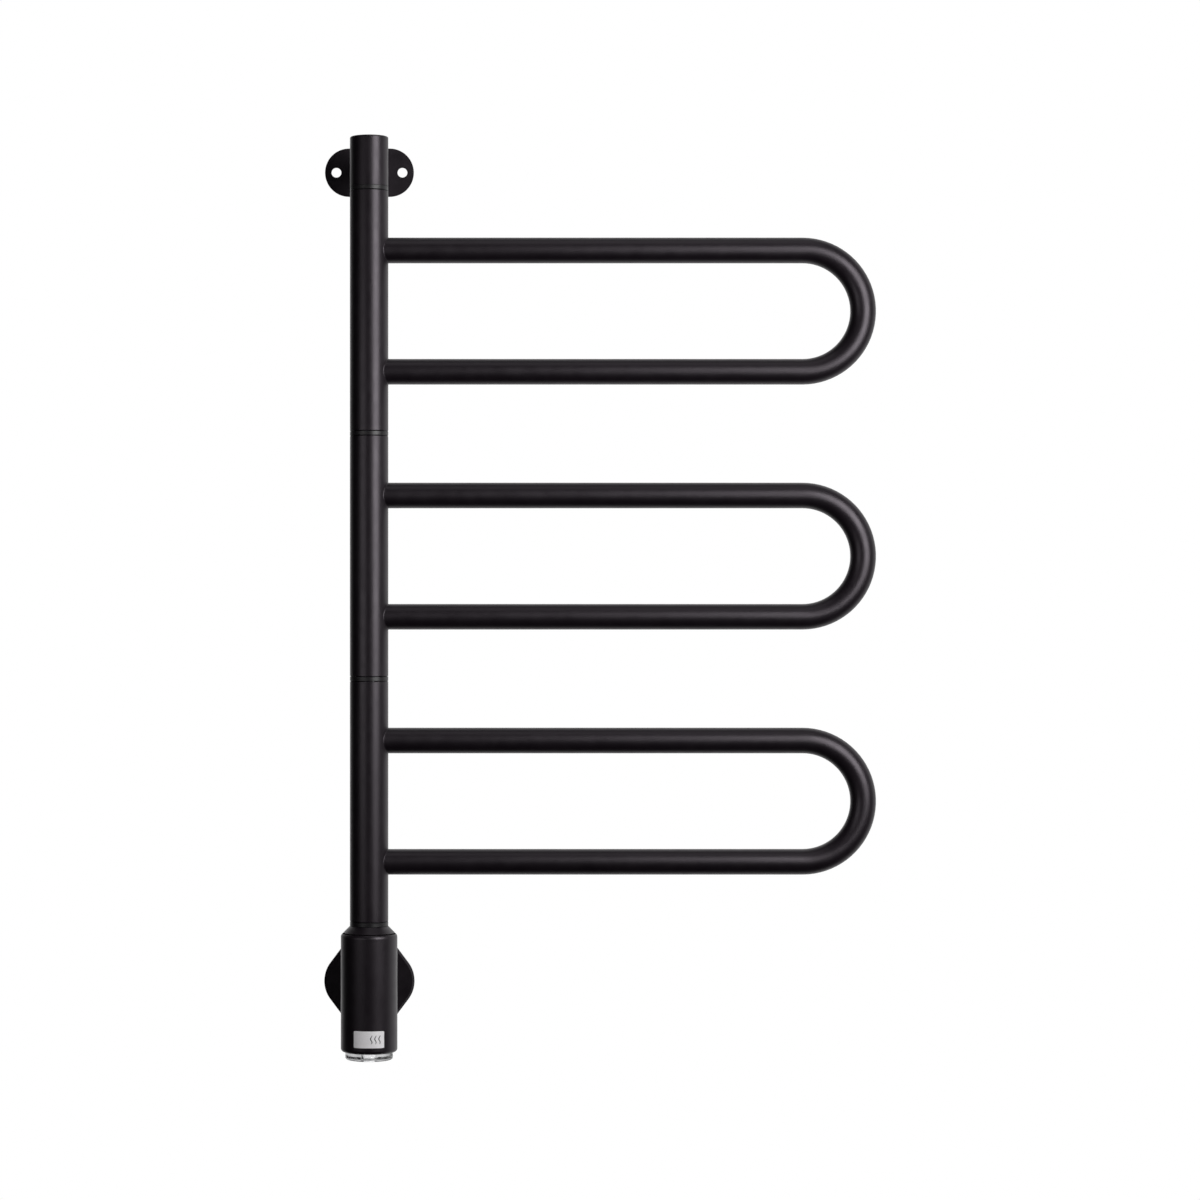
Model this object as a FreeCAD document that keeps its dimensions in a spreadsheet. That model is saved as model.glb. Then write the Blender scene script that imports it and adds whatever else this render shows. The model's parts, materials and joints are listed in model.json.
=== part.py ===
import FreeCAD, Part
import math
import os

import Sketcher

# A wall-mounted swivel-arm electric towel warmer, in millimetres, +Z up, the wall at y = 0 and the
# room towards -Y. The origin is the middle of the two screw holes of the top wall plate, on the wall.
# A fixed mast carries a stack of three turning sleeves, each with a U-shaped heated bar.

SIZES = {
    # The post, and where it stands
    "wall_to_axis": 62, "post_rad": 19.2, "post_wall": 2, "post_above": 28, "post_edge": 1.5,
    "first_ring": 23.75, "pitch": 245, "ring_height": 4.5, "ring_edge": 0.4, "joint_gap": 0.3,
    # The heated bars: a U of tube whose two legs are loop_half above and below the sleeve's middle
    "bar_rad": 12.8, "bar_wall": 1.5, "loop_half": 60.65, "reach": 494, "weld_gap": 0.1, "cope_rad": 18.2,
    "heater_rad": 2.5, "heater_end": 14.5, "plug_start": 24, "plug_length": 8, "bore_gap": 0.1,
    "loop_coil_rad": 13.2, "lead_rad": 1.1, "loop_coil_half": 48, "loop_coil_pitch": 32,
    # The mast and what turns on it
    "mast_rad": 10, "mast_wall": 2, "mast_top": 2, "mast_foot": 796, "shaft_gap": 0.05,
    "slot_rad": 3, "slot_half": 9, "bush_length": 12, "bush_edge": 0.6, "harness_rad": 3.5, "harness_gap": 1,
    "nut_corner": 15.6, "nut_height": 8, "plug_bush_height": 6,
    "spring_rise": 1.4, "spring_plate": 1, "spring_rim": 13.6,
    # The top wall plate and its standoff
    "plate_rad": 24.5, "plate_half": 20.7, "plate_thick": 3, "plate_edge": 0.6,
    "plate_hole_rad": 5, "plate_hole_half": 33.6, "spigot_rad": 11, "spigot_wall": 3,
    # The lower wall fixing
    "lower_mount": 822.6, "rosette_rad": 30.5, "rosette_half_x": 15.4, "rosette_half_z": 20.6,
    "rosette_depth": 8, "rosette_wall": 2, "rosette_edge": 2.2, "seal_rad": 0.7,
    "base_rad": 27, "base_thick": 5.5, "base_hole_rad": 2.6, "base_hole_half": 19.5,
    "spigot_start": 1, "spigot_end": 48, "grommet_length": 8, "cable_rad": 4,
    # The housing: depths below the neck's top edge
    "neck_top": 761, "seam_rad": 25.7, "seam_gap": 1.1, "collar_depth": 13, "housing_rad": 28.3,
    "housing_wall": 2, "housing_depth": 125.5, "shoulder_round": 4.5, "foot_round": 3.5,
    "lip_rad": 24.2, "lip_height": 4.5, "block_rad": 25.9, "block_foot": 87, "channel_rad": 7,
    "window_half": 15, "window_top": 45, "window_foot": 80, "window_back": 9,
    "screw_rad": 2, "screw_length": 12, "screw_head_rad": 3.6, "screw_head": 2.2,
    "upper_screw": 28, "lower_screw": 80, "screw_socket": 1.3, "screw_floor": 0.7,
    # The nameplate
    "plate_z": 110.3, "name_half": 8.35, "name_angle": 63.8, "name_depth": 0.2, "name_proud": 0.3,
    "name_play": 0.1, "name_swing": 0.4, "name_corner": 1,
    # The electronics, again as depths below the neck's top edge
    "carrier_top": 89, "carrier_foot": 112, "carrier_wall": 1.5, "carrier_hole": 4.5,
    "board_top": 103, "board_thick": 1.6, "board_rad": 23.5, "switch_side": 6, "switch_body": 4,
    "switch_tip_rad": 1.5, "switch_tip": 1, "lamp_circle": 17, "lamp_rad": 1.5, "lamp_height": 3,
    "power_width": 24, "power_depth": 16, "power_height": 12, "power_y": 8,
    "terminal_width": 26, "terminal_depth": 10, "terminal_height": 10, "terminal_y": 9,
    "terminal_hole": 1.7, "terminal_pitch": 8,
    # The push button
    "button_rad": 23.9, "button_flange": 25.9, "flange_top": 118.5, "flange_foot": 120.7,
    "button_foot": 133.2, "button_round": 2.5, "well_rad": 5.8, "well_foot": 131.1,
    "guide_rad": 5.7, "guide_foot": 131, "guide_height": 8, "stem_rad": 3, "stem_top": 111.8,
    "coil_rad": 11, "coil_wire": 0.5, "coil_turns": 3, "coil_play": 0.1,
}

SECTIONS = ("upper", "middle", "lower")
POST_Y = "-size.wall_to_axis"
NECK_Z = "-size.neck_top"
ORIGIN = FreeCAD.Vector(0, 0, 0)
UP = FreeCAD.Vector(0, 0, 1)
ALONG_X = FreeCAD.Rotation(FreeCAD.Vector(0, 1, 0), 90)
ALONG_Y = FreeCAD.Rotation(FreeCAD.Vector(1, 0, 0), -90)
NEAR = 0.01  # mm, within which an edge is where it is looked for
LEAST_CUT = 1  # cubic mm, below which a pocket has missed

doc = FreeCAD.newDocument("towel_warmer")
pieces = []


def make_sheet():
    """The spreadsheet of driving dimensions, one alias to a row."""
    sheet = doc.addObject("Spreadsheet::Sheet", "size")
    for row, (alias, number) in enumerate(SIZES.items(), start=1):
        sheet.set("A%d" % row, alias)
        sheet.set("B%d" % row, str(number))
        sheet.setAlias("B%d" % row, alias)
    doc.recompute()
    return sheet


size = make_sheet()


def value(text):
    """The number that an expression gives now."""
    return float(size.evalExpression(str(text)))


def place(item, x="0", y="0", z="0"):
    """Binds an object's position to three expressions."""
    for axis, text in zip("xyz", (x, y, z)):
        item.setExpression("Placement.Base." + axis, text)


def piece(item, label):
    """Marks an object as a finished sub-part, whose label names its file."""
    item.Label = label
    pieces.append(item)
    return item


def new_body(label, y="0", z="0"):
    """A PartDesign body at (0, y, z), which is a sub-part of its own."""
    item = doc.addObject("PartDesign::Body", label)
    place(item, y=y, z=z)
    return piece(item, label)


def new_sketch(body, role, offset="0"):
    """A sketch on one of the body's own origin planes, moved along its normal."""
    sketch = body.newObject("Sketcher::SketchObject", body.Name + "_sketch")
    plane = next(item for item in body.Origin.OriginFeatures if item.Role == role)
    sketch.AttachmentSupport = [(plane, "")]
    sketch.MapMode = "FlatFace"
    sketch.setExpression("AttachmentOffset.Base.z", offset)
    return sketch


def bind(sketch, kind, *arguments, text):
    """Adds a constraint of a size and binds it to an expression."""
    index = sketch.addConstraint(Sketcher.Constraint(kind, *arguments, value(text)))
    sketch.setExpression("Constraints[%d]" % index, text)


def pin(sketch, geometry, end, x, y):
    """Holds a point of the sketch at two expressions, or on an axis where one is nought."""
    for kind, axis, text in (("DistanceX", -2, x), ("DistanceY", -1, y)):
        if abs(value(text)) < NEAR:
            sketch.addConstraint(Sketcher.Constraint("PointOnObject", geometry, end, axis))
        else:
            bind(sketch, kind, -1, 1, geometry, end, text=text)


def circle(sketch, x, y, radius):
    centre = FreeCAD.Vector(value(x), value(y), 0)
    index = sketch.addGeometry(Part.Circle(centre, UP, value(radius)), False)
    pin(sketch, index, 3, x, y)
    bind(sketch, "Radius", index, text=radius)


def polygon(sketch, points):
    """A closed outline of straight lines through points given as pairs of expressions."""
    corners = [FreeCAD.Vector(value(x), value(y), 0) for x, y in points]
    count = len(corners)
    for k in range(count):
        sketch.addGeometry(Part.LineSegment(corners[k], corners[(k + 1) % count]), False)
    for k, (x, y) in enumerate(points):
        sketch.addConstraint(Sketcher.Constraint("Coincident", k, 2, (k + 1) % count, 1))
        pin(sketch, k, 1, x, y)


def rounded(sketch, centres, radius):
    """The outline of a belt round equal circles, whose centres run anticlockwise."""
    spots = [FreeCAD.Vector(value(x), value(y), 0) for x, y in centres]
    count = len(spots)
    reach = value(radius)
    first = sketch.GeometryCount
    normals = []
    for k in range(count):
        along = (spots[(k + 1) % count] - spots[k]).normalize()
        normals.append(FreeCAD.Vector(along.y, -along.x, 0))
    for k in range(count):
        before, after = normals[k - 1], normals[k]
        start, stop = math.atan2(before.y, before.x), math.atan2(after.y, after.x)
        if stop < start:
            stop += 2 * math.pi
        whole = Part.Circle(spots[k], UP, reach)
        sketch.addGeometry(Part.ArcOfCircle(whole, start, stop), False)
        line = Part.LineSegment(spots[k] + after * reach, spots[(k + 1) % count] + after * reach)
        sketch.addGeometry(line, False)
    for k, (x, y) in enumerate(centres):
        arc, line = first + 2 * k, first + 2 * k + 1
        next_arc = first + 2 * ((k + 1) % count)
        pin(sketch, arc, 3, x, y)
        bind(sketch, "Radius", arc, text=radius)
        sketch.addConstraint(Sketcher.Constraint("Tangent", arc, 2, line, 1))
        sketch.addConstraint(Sketcher.Constraint("Tangent", line, 2, next_arc, 1))


def turn(body, points, kind="Revolution", angle="360"):
    """Turns an outline of (radius, height) points about the body's Z axis."""
    sketch = new_sketch(body, "XZ_Plane" if angle == "360" else "YZ_Plane")
    polygon(sketch, points)
    feature = body.newObject("PartDesign::" + kind, body.Name + "_turn")
    feature.Profile = sketch
    feature.ReferenceAxis = (sketch, ["V_Axis"])
    feature.Midplane = angle != "360"
    feature.setExpression("Angle", angle)
    return feature


def pad(body, sketch, length, both=False):
    feature = body.newObject("PartDesign::Pad", body.Name + "_pad")
    feature.Profile = sketch
    feature.SideType = "Symmetric" if both else "One side"
    feature.setExpression("Length", length)
    return feature


def pocket(body, sketch, length, back=False, both=False):
    """Cuts along the sketch's normal, or against it with back, and checks that it cut."""
    doc.recompute()
    before = body.Tip.Shape.Volume
    feature = body.newObject("PartDesign::Pocket", body.Name + "_pocket")
    feature.Profile = sketch
    feature.SideType = "Symmetric" if both else "One side"
    feature.Reversed = not back
    feature.setExpression("Length", length)
    doc.recompute()
    if feature.Shape.Volume > before - LEAST_CUT:
        raise RuntimeError("the pocket in %s cuts nothing" % body.Label)
    return feature


def dress(body, kind, sizing, where):
    """Fillets or chamfers the edges of the body's tip for which where(edge) holds."""
    doc.recompute()
    base = body.Tip
    edges = ["Edge%d" % k for k, edge in enumerate(base.Shape.Edges, start=1) if where(edge)]
    feature = body.newObject("PartDesign::" + kind, body.Name + "_" + kind.lower())
    feature.Base = (base, edges)
    feature.setExpression("Radius" if kind == "Fillet" else "Size", sizing)
    return feature


def circle_at(radius, height):
    """Picks the circular edge of this radius about Z at this height, both expressions."""
    def where(edge):
        box = edge.BoundBox
        flat = max(abs(box.ZMin - value(height)), abs(box.ZMax - value(height))) < NEAR
        return flat and abs(box.XMax - value(radius)) < NEAR
    return where


def front_edge(depth):
    """Picks the edges that lie whole on the plane y = -depth."""
    def where(edge):
        box = edge.BoundBox
        return max(abs(box.YMin + value(depth)), abs(box.YMax + value(depth))) < NEAR
    return where


def cylinder(name, radius, length, rotation=None):
    item = doc.addObject("Part::Cylinder", name)
    item.setExpression("Radius", radius)
    item.setExpression("Height", length)
    if rotation:
        item.Placement.Rotation = rotation
    return item


def cut(base, tool):
    item = doc.addObject("Part::Cut", base.Name + "_cut")
    item.Base = base
    item.Tool = tool
    return item


def group(items, label, y="0", z="0"):
    """Separate solids that share one node."""
    item = doc.addObject("Part::Compound", label)
    item.Links = items
    place(item, y=y, z=z)
    return piece(item, label)


def make_wall_side():
    """The obround top plate with its standoff, and the lower base, rosette and spigot."""
    plate = new_body("top_wall_plate")
    sketch = new_sketch(plate, "XZ_Plane")
    rounded(sketch, [("size.plate_half", "0"), ("-size.plate_half", "0")], "size.plate_rad")
    for side in ("-", ""):
        circle(sketch, side + "size.plate_hole_half", "0", "size.plate_hole_rad")
    pad(plate, sketch, "size.plate_thick")
    dress(plate, "Chamfer", "size.plate_edge", front_edge("size.plate_thick"))

    standoff = new_body("top_standoff")
    sketch = new_sketch(standoff, "XZ_Plane", "size.plate_thick")
    circle(sketch, "0", "0", "size.spigot_rad")
    circle(sketch, "0", "0", "size.spigot_rad - size.spigot_wall")
    pad(standoff, sketch, "size.wall_to_axis - size.plate_thick")
    sketch = new_sketch(standoff, "XY_Plane")
    circle(sketch, "0", POST_Y, "size.cope_rad")
    pocket(standoff, sketch, "size.pitch", both=True)

    lower = "-size.lower_mount"
    base = new_body("wall_base", z=lower)
    sketch = new_sketch(base, "XZ_Plane")
    circle(sketch, "0", "0", "size.base_rad")
    circle(sketch, "0", "0", "size.spigot_rad + size.shaft_gap")
    for side in ("-", ""):
        circle(sketch, side + "size.base_hole_half", "0", "size.base_hole_rad")
    pad(base, sketch, "size.base_thick")

    rosette = new_body("wall_rosette", z=lower)
    centres = [("size.rosette_half_x", "0"), ("0", "size.rosette_half_z"),
               ("-size.rosette_half_x", "0"), ("0", "-size.rosette_half_z")]
    sketch = new_sketch(rosette, "XZ_Plane")
    rounded(sketch, centres, "size.rosette_rad")
    circle(sketch, "0", "0", "size.spigot_rad + size.shaft_gap + 2 * size.seal_rad")
    pad(rosette, sketch, "size.rosette_depth")
    sketch = new_sketch(rosette, "XZ_Plane")
    rounded(sketch, centres, "size.rosette_rad - size.rosette_wall")
    pocket(rosette, sketch, "size.rosette_depth - size.rosette_wall")
    outside = front_edge("size.rosette_depth")
    dress(rosette, "Chamfer", "size.rosette_edge",
          lambda edge: outside(edge) and edge.BoundBox.XMax > value("size.rosette_half_x"))

    seal = doc.addObject("Part::Torus", "rosette_seal")
    seal.setExpression("Radius1", "size.spigot_rad + size.shaft_gap + size.seal_rad")
    seal.setExpression("Radius2", "size.seal_rad")
    seal.Placement.Rotation = ALONG_Y
    place(seal, y="size.seal_rad - size.rosette_depth", z=lower)
    piece(seal, "rosette_seal")

    spigot = new_body("rear_spigot", z=lower)
    sketch = new_sketch(spigot, "XZ_Plane", "size.spigot_start")
    circle(sketch, "0", "0", "size.spigot_rad")
    circle(sketch, "0", "0", "size.spigot_rad - size.spigot_wall")
    pad(spigot, sketch, "size.spigot_end - size.spigot_start")

    grommet = new_body("cable_grommet", z=lower)
    sketch = new_sketch(grommet, "XZ_Plane")
    circle(sketch, "0", "0", "size.spigot_rad - size.spigot_wall - size.shaft_gap")
    circle(sketch, "0", "0", "size.cable_rad")
    pad(grommet, sketch, "size.grommet_length")


def annulus(inner, outer, foot, top, edge="0"):
    """The outline of a ring, with its two outer corners chamfered by edge."""
    if value(edge) == 0:
        return [(inner, foot), (outer, foot), (outer, top), (inner, top)]
    cut_rad = "%s - %s" % (outer, edge)
    return [(inner, foot), (cut_rad, foot), (outer, "%s + %s" % (foot, edge)),
            (outer, "%s - %s" % (top, edge)), (cut_rad, top), (inner, top)]


def make_top():
    """The fixed top section of the post, and what loads the stack inside it."""
    stack_top = "size.ring_height / 2 - size.first_ring"
    inner = "size.post_rad - size.post_wall"
    socket = new_body("top_post_section", POST_Y)
    turn(socket, annulus(inner, "size.post_rad", stack_top, "size.post_above"))
    sketch = new_sketch(socket, "XZ_Plane")
    circle(sketch, "0", "0", "size.spigot_rad + size.weld_gap")
    pocket(socket, sketch, "size.post_rad * 2", back=True)
    dress(socket, "Fillet", "size.post_edge", circle_at("size.post_rad", "size.post_above"))

    cap = new_body("top_cap", POST_Y, "size.post_above - 2 * size.post_wall")
    turn(cap, [("0", "0"), (inner + " - size.shaft_gap", "0"),
               (inner + " - size.shaft_gap", "2 * size.post_wall - size.ring_edge"),
               (inner + " - size.shaft_gap - size.ring_edge", "2 * size.post_wall"),
               ("0", "2 * size.post_wall")])

    shaft = "size.mast_rad + size.shaft_gap"
    bush = new_body("plug_bush", POST_Y, stack_top)
    turn(bush, annulus(shaft, inner + " - size.shaft_gap", "0", "size.plug_bush_height"))

    spring = new_body("disc_spring", POST_Y, stack_top + " + size.plug_bush_height")
    turn(spring, [(shaft, "size.spring_rise"), ("size.spring_rim", "0"),
                  ("size.spring_rim", "size.spring_plate"),
                  (shaft, "size.spring_rise + size.spring_plate")])

    nut = new_body("mast_nut", POST_Y, "-size.mast_top - size.nut_height - size.spring_plate")
    sketch = new_sketch(nut, "XY_Plane")
    polygon(sketch, [("size.nut_corner * cos(%ddeg)" % angle, "size.nut_corner * sin(%ddeg)" % angle)
                     for angle in range(30, 390, 60)])
    circle(sketch, "0", "0", shaft)
    pad(nut, sketch, "size.nut_height")


def middle_of(index):
    """The height of a section's middle, as an expression; 0 is the upper one."""
    return "-size.first_ring - size.pitch * %.1f" % (index + 0.5)


def make_mast():
    """The fixed tube through the post, the rings on it and the harness in it."""
    mast = new_body("mast_tube", POST_Y)
    turn(mast, annulus("size.mast_rad - size.mast_wall", "size.mast_rad",
                       "-size.mast_foot", "-size.mast_top"))
    for index in range(len(SECTIONS)):
        sketch = new_sketch(mast, "YZ_Plane")
        middle = middle_of(index)
        rounded(sketch, [("0", middle + " - size.slot_half"), ("0", middle + " + size.slot_half")],
                "size.slot_rad")
        pocket(mast, sketch, "size.mast_rad * 2")

    for index in range(len(SECTIONS) + 1):
        ring = new_body("spacer_ring_%d" % (index + 1), POST_Y,
                        "-size.first_ring - size.pitch * %d" % index)
        turn(ring, annulus("size.mast_rad + 2 * size.shaft_gap", "size.post_rad",
                           "-size.ring_height / 2", "size.ring_height / 2", "size.ring_edge"))

    harness = new_body("wiring_harness", POST_Y)
    turn(harness, annulus("0", "size.harness_rad", "size.harness_gap - size.neck_top - size.carrier_top",
                          "-size.mast_top - 2 * size.nut_height"))


def loop_pipe(body, *radii):
    """Sweeps one circle, or two for a tube, along the U, and copes both its ends."""
    path = new_sketch(body, "XZ_Plane")
    bend = FreeCAD.Vector(value("size.reach - size.loop_half"), 0, 0)
    rise = FreeCAD.Vector(0, value("size.loop_half"), 0)
    path.addGeometry(Part.LineSegment(ORIGIN + rise, bend + rise), False)
    path.addGeometry(Part.ArcOfCircle(Part.Circle(bend, UP, rise.y), -math.pi / 2, math.pi / 2), False)
    path.addGeometry(Part.LineSegment(bend - rise, ORIGIN - rise), False)
    path.addConstraint(Sketcher.Constraint("Tangent", 0, 2, 1, 2))
    path.addConstraint(Sketcher.Constraint("Tangent", 1, 1, 2, 1))
    pin(path, 1, 3, "size.reach - size.loop_half", "0")
    pin(path, 0, 1, "0", "size.loop_half")
    pin(path, 2, 2, "0", "-size.loop_half")
    profile = new_sketch(body, "YZ_Plane")
    for radius in radii:
        circle(profile, "0", "size.loop_half", radius)
    feature = body.newObject("PartDesign::AdditivePipe", body.Name + "_pipe")
    feature.Profile = profile
    feature.Spine = (path, [])
    return feature


def cope(body, radius):
    """Cuts both ends of a U to the round of the sleeve."""
    sketch = new_sketch(body, "XY_Plane")
    circle(sketch, "0", "0", radius)
    pocket(body, sketch, "size.pitch", both=True)


def make_arm(name, index):
    """One turning section: sleeve, bar, bushes, heater, its end plugs and its service loop."""
    middle = middle_of(index)
    half = "(size.pitch - size.ring_height) / 2 - size.joint_gap"
    inner = "size.post_rad - size.post_wall"
    sleeve = new_body("sleeve_" + name, POST_Y, middle)
    turn(sleeve, annulus(inner, "size.post_rad", "-(%s)" % half, half, "size.ring_edge"))
    sketch = new_sketch(sleeve, "YZ_Plane")
    for side in ("-", ""):
        circle(sketch, "0", side + "size.loop_half", "size.bar_rad + size.weld_gap")
    pocket(sleeve, sketch, "size.post_rad * 2")

    bar = new_body("bar_tube_" + name, POST_Y, middle)
    loop_pipe(bar, "size.bar_rad", "size.bar_rad - size.bar_wall")
    cope(bar, "size.cope_rad")

    for end, sign in (("upper", "+"), ("lower", "-")):
        height = "%s %s (%s - size.bush_length / 2 - size.shaft_gap)" % (middle, sign, half)
        bush = new_body("bush_%s_%s" % (name, end), POST_Y, height)
        turn(bush, annulus("size.mast_rad + size.shaft_gap", inner + " - size.shaft_gap",
                           "-size.bush_length / 2", "size.bush_length / 2", "size.bush_edge"))

    heater = new_body("heater_cable_" + name, POST_Y, middle)
    loop_pipe(heater, "size.heater_rad")
    cope(heater, "size.heater_end")

    plugs = []
    for side in ("-", ""):
        plug = cylinder("plug_" + name, "size.bar_rad - size.bar_wall - size.bore_gap",
                        "size.plug_length", ALONG_X)
        hole = cylinder("plug_hole_" + name, "size.heater_rad + size.bore_gap",
                        "size.plug_length", ALONG_X)
        for item in (plug, hole):
            place(item, "size.plug_start", z=side + "size.loop_half")
        plugs.append(cut(plug, hole))
    group(plugs, "heater_plugs_" + name, POST_Y, middle)

    make_coil("service_loop_" + name, "%s - size.loop_coil_half" % middle, "size.loop_coil_rad",
              "size.lead_rad", "size.loop_coil_pitch", "2 * size.loop_coil_half")


def make_coil(label, z, radius, wire, pitch, height):
    """A round wire wound up the post's axis from the height z."""
    coil = new_body(label, POST_Y, z)
    section = new_sketch(coil, "XZ_Plane")
    circle(section, radius, "0", wire)
    feature = coil.newObject("PartDesign::AdditiveHelix", label + "_helix")
    feature.Profile = section
    feature.ReferenceAxis = (section, ["V_Axis"])
    feature.Mode = "pitch-height-angle"
    feature.setExpression("Pitch", pitch)
    feature.setExpression("Height", height)


def make_housing():
    """The neck collar, the shell below it and the block that holds mast and spigot together."""
    shaft = "size.mast_rad + size.shaft_gap"
    lower = "size.neck_top - size.lower_mount"
    collar = new_body("neck_collar", POST_Y, NECK_Z)
    seam = "size.post_rad - size.seam_rad"
    turn(collar, [("size.mast_rad + 2 * size.shaft_gap", "-size.collar_depth"),
                  ("size.seam_rad - size.seam_gap", "-size.collar_depth"),
                  ("size.seam_rad - size.seam_gap", seam + " - size.seam_gap"),
                  ("size.seam_rad", seam), ("size.post_rad", "0"),
                  ("size.mast_rad + 2 * size.shaft_gap", "0")])

    shell = new_body("housing_shell", POST_Y, NECK_Z)
    mouth = "size.seam_rad + size.seam_gap"
    inner = "size.housing_rad - size.housing_wall"
    turn(shell, [(mouth, "size.post_rad - size.seam_rad - size.seam_gap"),
                 ("size.housing_rad", "size.post_rad - size.housing_rad"),
                 ("size.housing_rad", "-size.housing_depth"), ("size.lip_rad", "-size.housing_depth"),
                 ("size.lip_rad", "size.lip_height - size.housing_depth"),
                 (inner, "size.lip_height - size.housing_depth"),
                 (inner, "-size.collar_depth"), (mouth, "-size.collar_depth")])
    dress(shell, "Fillet", "size.shoulder_round",
          circle_at("size.housing_rad", "size.post_rad - size.housing_rad"))
    dress(shell, "Fillet", "size.foot_round", circle_at("size.housing_rad", "-size.housing_depth"))
    sketch = new_sketch(shell, "XZ_Plane")
    circle(sketch, "0", lower, "size.spigot_rad + size.joint_gap")
    for height in ("-size.upper_screw", "-size.lower_screw"):
        circle(sketch, "0", height, "size.screw_rad + size.shaft_gap")
    pocket(shell, sketch, "size.housing_rad * 2", back=True)
    recess = "size.name_half + size.name_play"
    clear = "-size.housing_rad - size.name_proud"
    turn(shell, [("size.name_depth - size.housing_rad", "-size.plate_z - (%s)" % recess),
                 ("size.name_depth - size.housing_rad", "-size.plate_z + (%s)" % recess),
                 (clear, "-size.plate_z + (%s)" % recess), (clear, "-size.plate_z - (%s)" % recess)],
         "Groove", "size.name_angle + size.name_swing")

    name = new_body("nameplate", POST_Y, NECK_Z + " - size.plate_z")
    back, front = "size.name_depth - size.housing_rad", "-size.housing_rad - size.name_proud"
    turn(name, [(back, "-size.name_half"), (back, "size.name_half"),
                (front, "size.name_half"), (front, "-size.name_half")], angle="size.name_angle")
    dress(name, "Fillet", "size.name_corner", lambda edge: edge.Length < value("size.name_corner"))

    block = new_body("mast_block", POST_Y, NECK_Z)
    step = "size.neck_top - size.mast_foot"
    turn(block, [(shaft, "-size.collar_depth"), ("size.block_rad", "-size.collar_depth"),
                 ("size.block_rad", "-size.block_foot"), ("size.channel_rad", "-size.block_foot"),
                 ("size.channel_rad", step), (shaft, step)])
    sketch = new_sketch(block, "XZ_Plane")
    circle(sketch, "0", lower, "size.spigot_rad + size.shaft_gap")
    pocket(block, sketch, "size.housing_rad * 2", back=True)
    sketch = new_sketch(block, "XZ_Plane")
    for height in ("-size.upper_screw", "-size.lower_screw"):
        circle(sketch, "0", height, "size.screw_rad + size.shaft_gap")
    pocket(block, sketch, "size.housing_rad * 2", back=True)
    sketch = new_sketch(block, "XZ_Plane", "size.window_back")
    polygon(sketch, [("-size.window_half", "-size.window_foot"), ("size.window_half", "-size.window_foot"),
                     ("size.window_half", "-size.window_top"), ("-size.window_half", "-size.window_top")])
    pocket(block, sketch, "size.housing_rad")

    screws = []
    for height in ("-size.upper_screw", "-size.lower_screw"):
        shank = cylinder("screw_shank", "size.screw_rad", "size.screw_length", ALONG_Y)
        place(shank, y="size.housing_rad - size.screw_length", z=height)
        head = cylinder("screw_head", "size.screw_head_rad", "size.screw_head", ALONG_Y)
        place(head, y="size.housing_rad", z=height)
        whole = doc.addObject("Part::Fuse", "screw_whole")
        whole.Base = shank
        whole.Tool = head
        key = doc.addObject("Part::Prism", "screw_key")
        key.Polygon = 6
        key.setExpression("Circumradius", "size.screw_socket")
        key.setExpression("Height", "size.screw_head")
        key.Placement.Rotation = ALONG_Y
        place(key, y="size.housing_rad + size.screw_floor", z=height)
        screws.append(cut(whole, key))
    group(screws, "housing_screws", POST_Y, NECK_Z)


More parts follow.
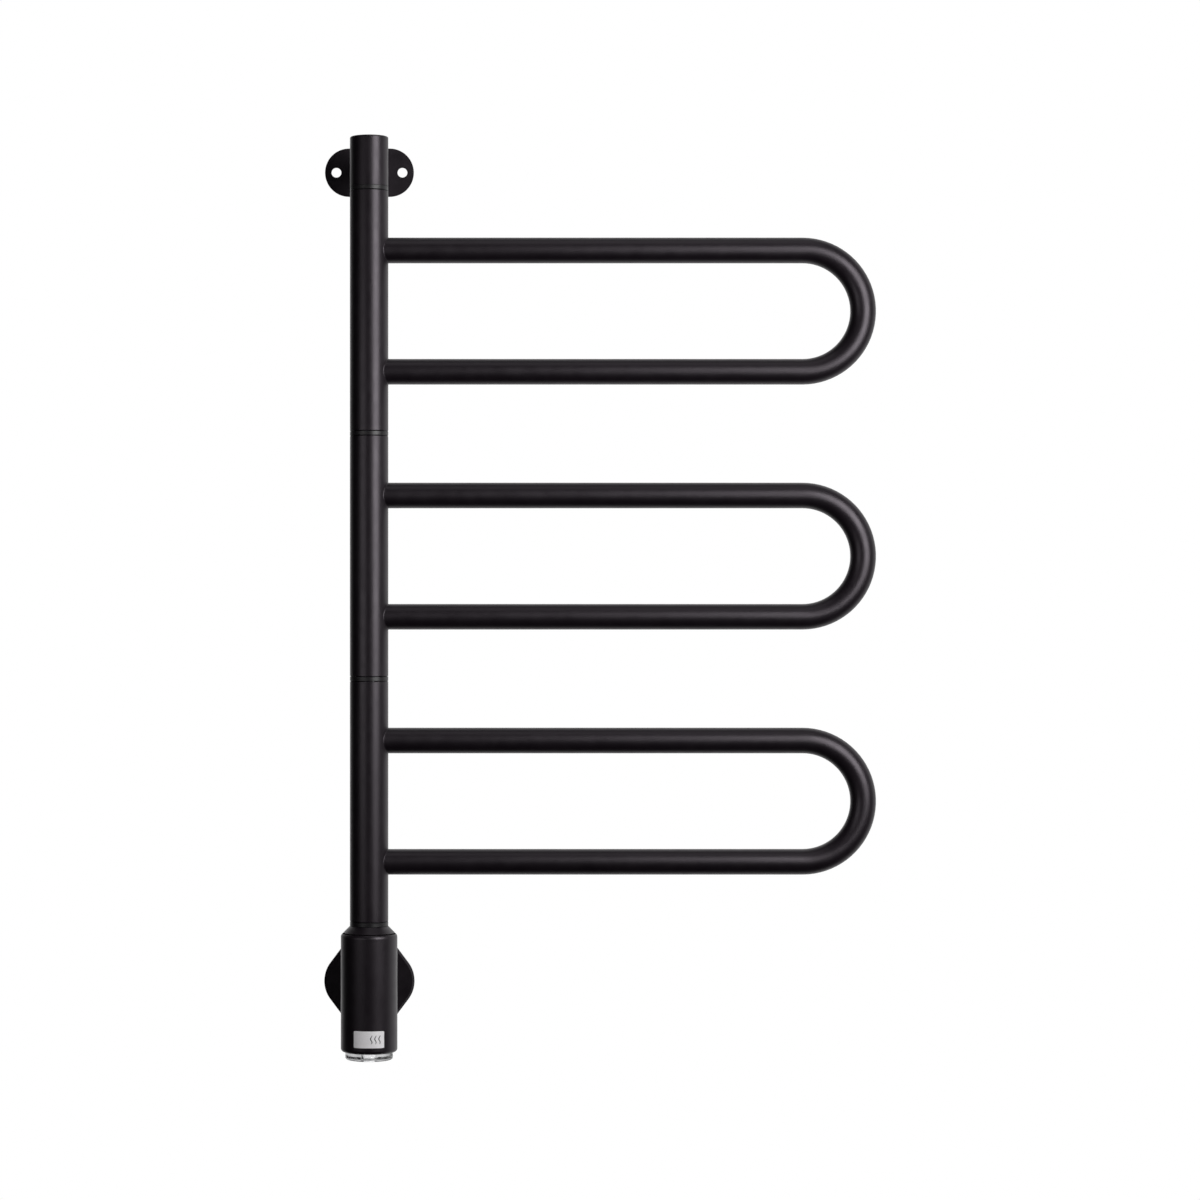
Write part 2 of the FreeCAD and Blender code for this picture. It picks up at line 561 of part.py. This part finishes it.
def make_electronics():
    """The carrier cup with its board, and the parts on the board."""
    carrier = new_body("board_carrier", POST_Y, NECK_Z)
    wall = "size.block_rad - size.carrier_wall"
    web = "size.carrier_wall - size.carrier_foot"
    turn(carrier, [("size.carrier_hole", "-size.carrier_foot"), ("size.block_rad", "-size.carrier_foot"),
                   ("size.block_rad", "-size.carrier_top"), (wall, "-size.carrier_top"),
                   (wall, web), ("size.carrier_hole", web)])
    lamps = [(sign + "size.lamp_circle * cos(45deg)", rise + "size.lamp_circle * cos(45deg)")
             for sign in ("", "-") for rise in ("", "-")]
    sketch = new_sketch(carrier, "XY_Plane", "-size.carrier_foot")
    for x, y in lamps:
        circle(sketch, x, y, "size.lamp_rad + size.joint_gap")
    pocket(carrier, sketch, "size.carrier_wall * 2", both=True)

    board = new_body("timer_board", POST_Y, NECK_Z)
    turn(board, annulus("0", "size.board_rad", "-size.board_top - size.board_thick", "-size.board_top"))

    under = "-size.board_top - size.board_thick"
    leds = []
    for x, y in lamps:
        led = cylinder("lamp", "size.lamp_rad", "size.lamp_height")
        place(led, x, y, under + " - size.lamp_height")
        leds.append(led)
    group(leds, "indicator_lamps", POST_Y, NECK_Z)

    switch = doc.addObject("Part::Box", "switch_body")
    for side in ("Length", "Width"):
        switch.setExpression(side, "size.switch_side")
    switch.setExpression("Height", "size.switch_body")
    place(switch, "-size.switch_side / 2", "-size.switch_side / 2", under + " - size.switch_body")
    tip = cylinder("switch_tip", "size.switch_tip_rad", "size.switch_tip")
    place(tip, z=under + " - size.switch_body - size.switch_tip")
    whole = doc.addObject("Part::Fuse", "tact_switch")
    whole.Base = switch
    whole.Tool = tip
    place(whole, y=POST_Y, z=NECK_Z)
    piece(whole, "tact_switch")

    for label, word, y in (("power_module", "power", "-size.power_y - size.power_depth / 2"),
                           ("terminal_block", "terminal", "size.terminal_y - size.terminal_depth / 2")):
        body = new_body(label, POST_Y, NECK_Z + " - size.board_top")
        sketch = new_sketch(body, "XY_Plane")
        half = "size.%s_width / 2" % word
        far = "%s + size.%s_depth" % (y, word)
        polygon(sketch, [("-" + half, y), (half, y), (half, far), ("-" + half, far)])
        pad(body, sketch, "size.%s_height" % word)
        dress(body, "Chamfer", "size.ring_edge", lambda edge: edge.BoundBox.ZMin > value("size.ring_edge"))
        if word == "terminal":
            sketch = new_sketch(body, "XZ_Plane", "-size.terminal_y")
            for step in ("-size.terminal_pitch", "0", "size.terminal_pitch"):
                circle(sketch, step, "size.terminal_height / 2", "size.terminal_hole")
            pocket(body, sketch, "size.terminal_depth * 2", both=True)


def make_button():
    """The clear push button, the light guide in it and the spring above it."""
    button = new_body("push_button", POST_Y, NECK_Z)
    turn(button, [("0", "-size.button_foot"), ("size.button_rad", "-size.button_foot"),
                  ("size.button_rad", "-size.flange_foot"), ("size.button_flange", "-size.flange_foot"),
                  ("size.button_flange", "-size.flange_top"), ("size.well_rad", "-size.flange_top"),
                  ("size.well_rad", "-size.well_foot"), ("0", "-size.well_foot")])
    dress(button, "Fillet", "size.button_round", circle_at("size.button_rad", "-size.button_foot"))

    guide = new_body("light_guide", POST_Y, NECK_Z)
    turn(guide, [("0", "-size.guide_foot"), ("size.guide_rad", "-size.guide_foot"),
                 ("size.guide_rad", "size.guide_height - size.guide_foot"),
                 ("size.stem_rad", "size.guide_height - size.guide_foot"),
                 ("size.stem_rad", "-size.stem_top"), ("0", "-size.stem_top")])

    play = "(size.coil_wire + size.coil_play)"
    rise = "(size.flange_top - size.carrier_foot - 2 * %s)" % play
    make_coil("return_spring", "%s - size.flange_top + %s" % (NECK_Z, play), "size.coil_rad",
              "size.coil_wire", "%s / size.coil_turns" % rise, rise)


def check():
    """Stops if any object failed, or a sub-part is empty or not valid."""
    doc.recompute()
    for item in doc.Objects:
        if {"Invalid", "Error"} & set(item.State):
            raise RuntimeError("%s is %s" % (item.Label, item.State))
    for item in pieces:
        if item.Shape.isNull() or not item.Shape.isValid():
            raise RuntimeError("%s has no valid shape" % item.Label)


def export():
    os.makedirs("parts", exist_ok=True)
    for item in pieces:
        item.Shape.exportStep(os.path.join("parts", item.Label + ".step"))


make_wall_side()
make_top()
make_mast()
for number, section in enumerate(SECTIONS):
    make_arm(section, number)
make_housing()
make_electronics()
make_button()
check()
export()
print("%d sub-parts" % len(pieces))
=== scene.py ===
import json
import math

import bmesh
import bpy
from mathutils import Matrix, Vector


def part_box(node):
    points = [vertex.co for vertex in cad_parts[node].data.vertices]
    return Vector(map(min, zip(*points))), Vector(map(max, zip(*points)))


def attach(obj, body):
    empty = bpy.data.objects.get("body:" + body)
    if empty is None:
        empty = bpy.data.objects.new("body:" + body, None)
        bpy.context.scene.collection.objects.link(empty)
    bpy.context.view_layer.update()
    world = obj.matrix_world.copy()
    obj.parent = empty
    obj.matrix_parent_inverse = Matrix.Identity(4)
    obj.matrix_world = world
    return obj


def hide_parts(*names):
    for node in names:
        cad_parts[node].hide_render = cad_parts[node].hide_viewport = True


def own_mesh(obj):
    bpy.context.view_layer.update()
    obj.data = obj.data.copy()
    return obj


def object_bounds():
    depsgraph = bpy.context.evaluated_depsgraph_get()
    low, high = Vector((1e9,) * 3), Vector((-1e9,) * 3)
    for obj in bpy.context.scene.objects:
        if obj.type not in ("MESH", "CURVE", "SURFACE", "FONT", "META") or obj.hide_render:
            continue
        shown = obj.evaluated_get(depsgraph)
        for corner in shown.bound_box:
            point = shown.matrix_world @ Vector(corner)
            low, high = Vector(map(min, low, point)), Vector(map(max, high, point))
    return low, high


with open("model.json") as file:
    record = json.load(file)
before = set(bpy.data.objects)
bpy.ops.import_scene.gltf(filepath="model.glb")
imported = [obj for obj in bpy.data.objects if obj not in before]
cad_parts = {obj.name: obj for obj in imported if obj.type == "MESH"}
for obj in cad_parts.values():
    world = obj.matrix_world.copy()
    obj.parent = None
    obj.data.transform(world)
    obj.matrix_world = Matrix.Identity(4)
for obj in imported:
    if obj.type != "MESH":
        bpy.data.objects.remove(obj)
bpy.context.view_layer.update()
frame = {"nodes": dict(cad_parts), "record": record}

# All lengths are in metres. The wall is the plane y = 0 and the room is towards -Y.

MM = 0.001
ARMS = ("upper", "middle", "lower")
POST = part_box("sleeve_upper")
AXIS = Vector(((POST[0][0] + POST[1][0]) / 2, (POST[0][1] + POST[1][1]) / 2, 0))
POST_RADIUS = (POST[1][0] - POST[0][0]) / 2
CAMERA_DISTANCE = 3.3
FRAME_WIDTH = 1.2
WHITE = (1, 1, 1, 1)


# ---------------------------------------------------------------- materials

def set_range(node, from_low, from_high, to_low, to_high):
    """Sets the two ranges of a Map Range node."""
    limits = {"From Min": from_low, "From Max": from_high, "To Min": to_low, "To Max": to_high}
    for name, number in limits.items():
        node.inputs[name].default_value = number


class Nodes:
    """A material being built: its node tree, its shader and short ways to add to them."""

    def __init__(self, name):
        self.material = bpy.data.materials.new(name)
        self.material.use_nodes = True
        self.tree = self.material.node_tree
        self.shader = self.tree.nodes["Principled BSDF"]
        self.place = self.tree.nodes.new("ShaderNodeTexCoord").outputs["Object"]

    def set(self, **sockets):
        for name, number in sockets.items():
            self.shader.inputs[name.replace("_", " ")].default_value = number

    def link(self, source, target):
        self.tree.links.new(source, target)

    def stretched(self, scale):
        """Object coordinates multiplied by three scales."""
        mapping = self.tree.nodes.new("ShaderNodeMapping")
        mapping.inputs["Scale"].default_value = scale
        self.link(self.place, mapping.inputs["Vector"])
        return mapping.outputs["Vector"]

    def noise(self, size, detail=3.0, vector=None):
        """Noise whose features are about size metres across."""
        node = self.tree.nodes.new("ShaderNodeTexNoise")
        node.inputs["Scale"].default_value = 1.0 / size
        node.inputs["Detail"].default_value = detail
        self.link(vector or self.place, node.inputs["Vector"])
        return node.outputs["Fac"]

    def ranged(self, source, low, high):
        """Maps the middle of a noise, 0.3 to 0.7, on to low to high."""
        node = self.tree.nodes.new("ShaderNodeMapRange")
        set_range(node, 0.3, 0.7, low, high)
        self.link(source, node.inputs["Value"])
        return node.outputs["Result"]

    def mixed(self, source, first, second):
        """Colour between two, by a factor."""
        node = self.tree.nodes.new("ShaderNodeMix")
        node.data_type = "RGBA"
        self.link(source, node.inputs["Factor"])
        node.inputs[6].default_value = (*first, 1)
        node.inputs[7].default_value = (*second, 1)
        return node.outputs[2]

    def bump(self, source, strength, depth, normal=None):
        """Relief of a depth in metres, on top of another relief if there is one."""
        node = self.tree.nodes.new("ShaderNodeBump")
        node.inputs["Strength"].default_value = strength
        node.inputs["Distance"].default_value = depth
        self.link(source, node.inputs["Height"])
        if normal:
            self.link(normal, node.inputs["Normal"])
        return node.outputs["Normal"]

    def finish(self, colour, roughness, normal=None):
        """Links what was made to the shader and gives the material."""
        for source, name in ((colour, "Base Color"), (roughness, "Roughness"), (normal, "Normal")):
            if source:
                self.link(source, self.shader.inputs[name])
        return self.material


def powder_coat():
    """Satin black powder coat: fine orange peel, faint cloudy patches in gloss and tone."""
    m = Nodes("powder_coat")
    m.set(Specular_IOR_Level=0.5, Specular_Tint=(1.0, 0.91, 1.0, 1))
    cloud = m.noise(0.045, 4)
    grain = m.noise(0.0007, 2)
    peel = m.noise(0.004, 3)
    colour = m.mixed(m.ranged(cloud, 0, 1), (0.0040, 0.0024, 0.0040), (0.0060, 0.0040, 0.0060))
    roughness = m.ranged(m.noise(0.012, 5), 0.35, 0.42)
    normal = m.bump(peel, 0.10, 0.00012)
    normal = m.bump(grain, 0.22, 0.00004, normal)
    return m.finish(colour, roughness, normal)


def moulded(name, dark, light, gloss=(0.45, 0.6), grain=0.0009, depth=0.00005):
    """Moulded plastic or rubber with a fine spark-eroded grain."""
    m = Nodes(name)
    colour = m.mixed(m.ranged(m.noise(0.02, 4), 0, 1), dark, light)
    roughness = m.ranged(m.noise(0.006, 3), *gloss)
    return m.finish(colour, roughness, m.bump(m.noise(grain, 2), 0.3, depth))


def brushed(name, dark, light, gloss=(0.25, 0.42), scale=(30, 2500, 2500), metal=1.0):
    """Metal brushed along X, as fine streaks in tone, gloss and relief."""
    m = Nodes(name)
    m.set(Metallic=metal)
    streak = m.noise(1.0, 3, m.stretched(scale))
    colour = m.mixed(m.ranged(streak, 0, 1), dark, light)
    roughness = m.ranged(streak, *gloss)
    return m.finish(colour, roughness, m.bump(streak, 0.25, 0.00002))


def clear_acrylic():
    """Clear acrylic, a little smoky, with flow marks."""
    m = Nodes("clear_acrylic")
    m.set(Transmission_Weight=1.0, IOR=1.49)
    colour = m.mixed(m.ranged(m.noise(0.008, 3), 0, 1), (0.50, 0.50, 0.51), (0.84, 0.84, 0.85))
    roughness = m.ranged(m.noise(0.004, 3), 0.05, 0.20)
    return m.finish(colour, roughness, m.bump(m.noise(0.005, 3), 0.25, 0.0003))


def white_diffuser():
    """White translucent plastic with a painted glow: an even emission makes it shine, though no lamp lights
    it.
    """
    m = Nodes("white_diffuser")
    # Painted glow: emission brightens this white plastic, though no lamp lights it.
    m.set(Emission_Strength=0.9, Emission_Color=WHITE)
    colour = m.mixed(m.ranged(m.noise(0.003, 3), 0, 1), (0.84, 0.84, 0.82), (0.93, 0.93, 0.92))
    roughness = m.ranged(m.noise(0.002, 2), 0.35, 0.5)
    return m.finish(colour, roughness, m.bump(m.noise(0.001, 2), 0.2, 0.00005))


def make_materials():
    """One material for each slot of the record, by the slot's name."""
    return {
        "black_coat": powder_coat(),
        "black_ring": moulded("black_ring", (0.0040, 0.0030, 0.0042), (0.0064, 0.0050, 0.0066), (0.36, 0.44)),
        "brushed_plate": brushed("brushed_plate", (0.86, 0.84, 0.86), (0.96, 0.94, 0.96), (0.42, 0.55),
                                 metal=0.1),
        "clear_acrylic": clear_acrylic(),
        # white_diffuser carries a painted glow: it shines by emission, not by a lamp.
        "white_diffuser": white_diffuser(),
        "plain_steel": brushed("plain_steel", (0.38, 0.38, 0.38), (0.5, 0.5, 0.5), scale=(900, 900, 40)),
        "zinc_hardware": brushed("zinc_hardware", (0.46, 0.47, 0.48), (0.62, 0.63, 0.66),
                                 scale=(600, 600, 600)),
        "spring_steel": brushed("spring_steel", (0.3, 0.3, 0.31), (0.45, 0.45, 0.47),
                                scale=(800, 800, 800)),
        "cast_block": brushed("cast_block", (0.45, 0.45, 0.46), (0.62, 0.62, 0.63), (0.45, 0.65),
                              (700, 700, 700)),
        "bush_polymer": moulded("bush_polymer", (0.72, 0.70, 0.65), (0.82, 0.80, 0.75)),
        "heater_jacket": moulded("heater_jacket", (0.30, 0.06, 0.035), (0.42, 0.09, 0.05), (0.5, 0.7)),
        "silicone": moulded("silicone", (0.012, 0.012, 0.012), (0.025, 0.025, 0.025), (0.5, 0.7)),
        "lead_sleeving": moulded("lead_sleeving", (0.55, 0.54, 0.48), (0.7, 0.69, 0.63), (0.6, 0.8)),
        "black_plastic": moulded("black_plastic", (0.010, 0.010, 0.011), (0.02, 0.02, 0.021)),
        "board_laminate": moulded("board_laminate", (0.008, 0.09, 0.03), (0.015, 0.14, 0.05), (0.25, 0.4)),
        "terminal_plastic": moulded("terminal_plastic", (0.6, 0.6, 0.57), (0.7, 0.7, 0.67)),
        "lamp_lens": moulded("lamp_lens", (0.7, 0.75, 0.7), (0.8, 0.85, 0.8), (0.08, 0.15)),
    }


def paint_nodes(materials):
    """Gives each CAD node the material of its slot."""
    slots = {row["node"]: row["material_slot"] for row in frame["record"]["subparts"]}
    for name, node in frame["nodes"].items():
        node.data.materials.clear()
        node.data.materials.append(materials[slots[name]])


# ---------------------------------------------------------------- pieces

def new_piece(name, body, material, vertices, faces, smooth=True):
    """A mesh piece that rides on a body and takes its finish from a slot."""
    mesh = bpy.data.meshes.new(name)
    mesh.from_pydata(vertices, [], faces)
    mesh.update()
    tidy = bmesh.new()
    tidy.from_mesh(mesh)
    bmesh.ops.recalc_face_normals(tidy, faces=tidy.faces)
    tidy.to_mesh(mesh)
    tidy.free()
    for face in mesh.polygons:
        face.use_smooth = smooth
    piece = bpy.data.objects.new(name, mesh)
    bpy.context.scene.collection.objects.link(piece)
    mesh.materials.append(material)
    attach(piece, body)
    return piece


def weld_fillet(arm, level, height, bar_radius, material):
    """The small hollow weld all round a bar, where it meets the sleeve."""
    leg, sunk = 0.5 * MM, 0.4 * MM
    around, across = 96, 8
    vertices, faces = [], []
    for k in range(around):
        turn = 2 * math.pi * k / around
        for step in range(across + 1):
            swing = math.pi / 2 * step / across
            out = leg * (1 - math.sin(swing))
            along = leg * (1 - math.cos(swing))
            reach = bar_radius + out
            side = reach * math.sin(turn)
            foot = math.sqrt(POST_RADIUS ** 2 - side ** 2)
            vertices.append(AXIS + Vector((foot + along, side, height + reach * math.cos(turn))))
        reach = bar_radius - sunk
        side = reach * math.sin(turn)
        foot = math.sqrt(POST_RADIUS ** 2 - side ** 2) - sunk
        vertices.append(AXIS + Vector((foot, side, height + reach * math.cos(turn))))
    ring = across + 2
    for k in range(around):
        here, there = k * ring, (k + 1) % around * ring
        for step in range(ring):
            ahead = (step + 1) % ring
            faces.append((here + step, here + ahead, there + ahead, there + step))
    new_piece("weld_%s_%s" % (arm, level), "arm_" + arm, material, vertices, faces)


def make_spring(material):
    """The button's return spring, a still coil at rest length in place of the CAD spring; the real spring
    shortens towards its upper end as the button goes up.
    """
    low, high = (Vector(corner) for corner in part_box("return_spring"))
    wire, turns, steps, around = 0.5 * MM, 3, 270, 14
    coil = (high.x - low.x) / 2 - wire
    rise = high.z - low.z - 2 * wire
    vertices = []
    for k in range(steps + 1):
        turn = 2 * math.pi * turns * k / steps
        out = Vector((math.cos(turn), math.sin(turn), 0))
        middle = AXIS + coil * out + Vector((0, 0, low.z + wire + rise * k / steps))
        for n in range(around):
            swing = 2 * math.pi * n / around
            vertices.append(middle + wire * (math.cos(swing) * out + Vector((0, 0, math.sin(swing)))))
    faces = [tuple(range(around)), tuple(steps * around + n for n in range(around))]
    for k in range(steps):
        for n in range(around):
            here, ahead = around * k + n, around * k + (n + 1) % around
            faces.append((here, ahead, ahead + around, here + around))
    spring = new_piece("button_spring", "root", material, vertices, faces)
    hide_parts("return_spring")
    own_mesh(spring)


def make_symbol(material):
    """Three wavy upright strokes, for warmth, printed thinly on the blank nameplate."""
    low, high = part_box("nameplate")
    radius = AXIS.y - low[1]
    middle = (low[2] + high[2]) / 2
    steps, tall, sway, waves, widest = 28, 8.6 * MM, 0.75 * MM, 1.25, 0.55 * MM
    sunk, proud = -0.05 * MM, 0.02 * MM
    for number, offset in enumerate((2.3, 6.5, 10.7), 1):
        vertices = []
        for k in range(steps + 1):
            t = k / steps
            along = offset * MM + sway * math.sin(2 * math.pi * waves * t)
            half = widest * (0.4 + 0.6 * math.sin(math.pi * t) ** 0.5)
            for side, height in ((-1, sunk), (-0.8, proud), (0.8, proud), (1, sunk)):
                swing = (along + side * half) / radius
                reach = radius + height
                vertices.append(AXIS + Vector((reach * math.sin(swing), -reach * math.cos(swing),
                                               middle + (t - 0.5) * tall)))
        faces = [(0, 1, 2, 3), tuple(4 * steps + n for n in range(4))]
        for k in range(steps):
            for n in range(4):
                ahead = (n + 1) % 4
                faces.append((4 * k + n, 4 * k + ahead, 4 * k + 4 + ahead, 4 * k + 4 + n))
        new_piece("heat_mark_%d" % number, "root", material, vertices, faces, smooth=False)


def make_welds(material):
    """A weld at each end of each bar."""
    for arm in ARMS:
        low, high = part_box("bar_tube_" + arm)
        bar_radius = (high[1] - low[1]) / 2
        weld_fillet(arm, "top", high[2] - bar_radius, bar_radius, material)
        weld_fillet(arm, "bottom", low[2] + bar_radius, bar_radius, material)


# ---------------------------------------------------------------- stage

def area_light(name, place, target, width, height, power):
    """A rectangular light turned towards a point."""
    data = bpy.data.lights.new(name, "AREA")
    data.shape = "RECTANGLE"
    data.size, data.size_y = width, height
    data.energy = power
    light = bpy.data.objects.new(name, data)
    light.location = place
    light.rotation_euler = (Vector(target) - Vector(place)).to_track_quat("-Z", "Y").to_euler()
    bpy.context.scene.collection.objects.link(light)


def make_lights():
    """A tall soft box to the right of the camera, a weak one to its left and one above."""
    middle = Vector((0.1, AXIS.y, -0.3))
    area_light("key", (1.10, -1.29, 0.02), (0.1, AXIS.y, -0.2), 1.0, 1.25, 27)
    area_light("fill", (-1.18, -1.67, -0.36), middle, 1.2, 0.75, 5.0)
    area_light("top", (0.3, -0.6, 1.6), middle, 1.6, 1.2, 4)


def make_world():
    """White behind the object, dark behind the camera, and plain white to the camera itself."""
    world = bpy.data.worlds.new("studio")
    bpy.context.scene.world = world
    world.use_nodes = True
    tree = world.node_tree
    tree.nodes.clear()
    out = tree.nodes.new("ShaderNodeOutputWorld")
    mix = tree.nodes.new("ShaderNodeMixShader")
    seen = tree.nodes.new("ShaderNodeBackground")
    lit = tree.nodes.new("ShaderNodeBackground")
    path = tree.nodes.new("ShaderNodeLightPath")
    direction = tree.nodes.new("ShaderNodeTexCoord")
    towards = tree.nodes.new("ShaderNodeVectorMath")
    towards.operation = "DOT_PRODUCT"
    towards.inputs[1].default_value = (0.4, 0.92, 0)
    ramp = tree.nodes.new("ShaderNodeMapRange")
    ramp.interpolation_type = "SMOOTHSTEP"
    set_range(ramp, 0.04, 0.75, 0.012, 0.9)
    seen.inputs["Color"].default_value = WHITE
    tree.links.new(direction.outputs["Generated"], towards.inputs[0])
    tree.links.new(towards.outputs["Value"], ramp.inputs["Value"])
    tree.links.new(ramp.outputs["Result"], lit.inputs["Color"])
    tree.links.new(path.outputs["Is Camera Ray"], mix.inputs["Fac"])
    tree.links.new(lit.outputs["Background"], mix.inputs[1])
    tree.links.new(seen.outputs["Background"], mix.inputs[2])
    tree.links.new(mix.outputs["Shader"], out.inputs["Surface"])


def make_floor():
    """A plain pale floor, well under the rack because the rack hangs on a wall. It doesn't light the rack."""
    drop, side, back = 0.42, 6, 1.1
    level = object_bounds()[0][2] - drop
    mesh = bpy.data.meshes.new("floor")
    corners = [(-side, -side, level), (side, -side, level), (side, back, level), (-side, back, level)]
    mesh.from_pydata(corners, [], [(0, 1, 2, 3)])
    floor = bpy.data.objects.new("floor", mesh)
    bpy.context.scene.collection.objects.link(floor)
    m = Nodes("floor_paint")
    m.set(Emission_Strength=0.7, Emission_Color=WHITE)
    colour = m.mixed(m.ranged(m.noise(0.3, 4), 0, 1), (0.86, 0.86, 0.86), (0.9, 0.9, 0.9))
    mesh.materials.append(m.finish(colour, m.ranged(m.noise(0.1, 3), 0.6, 0.7)))
    floor.visible_glossy = False
    floor.visible_diffuse = False


def make_camera():
    """Square on to the wall, level, in front of the post, with the frame shifted to centre the rack."""
    low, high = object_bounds()
    centre = (Vector(low) + Vector(high)) / 2
    data = bpy.data.cameras.new("camera")
    data.sensor_width = 36
    data.lens = data.sensor_width * CAMERA_DISTANCE / FRAME_WIDTH
    camera = bpy.data.objects.new("camera", data)
    right_of_post, below_centre, frame_right = 20 * MM, 2 * MM, 0.5 * MM
    camera.location = (AXIS.x + right_of_post, AXIS.y - CAMERA_DISTANCE, centre.z - below_centre)
    camera.rotation_euler = (math.pi / 2, 0, 0)
    data.shift_x = (centre.x + frame_right - camera.location.x) / FRAME_WIDTH
    bpy.context.scene.collection.objects.link(camera)
    bpy.context.scene.camera = camera


bpy.context.scene.view_settings.view_transform = "Standard"
materials = make_materials()
paint_nodes(materials)
make_welds(materials["black_coat"])
make_symbol(materials["black_coat"])
make_spring(materials["spring_steel"])
make_camera()
make_world()
make_lights()
make_floor()
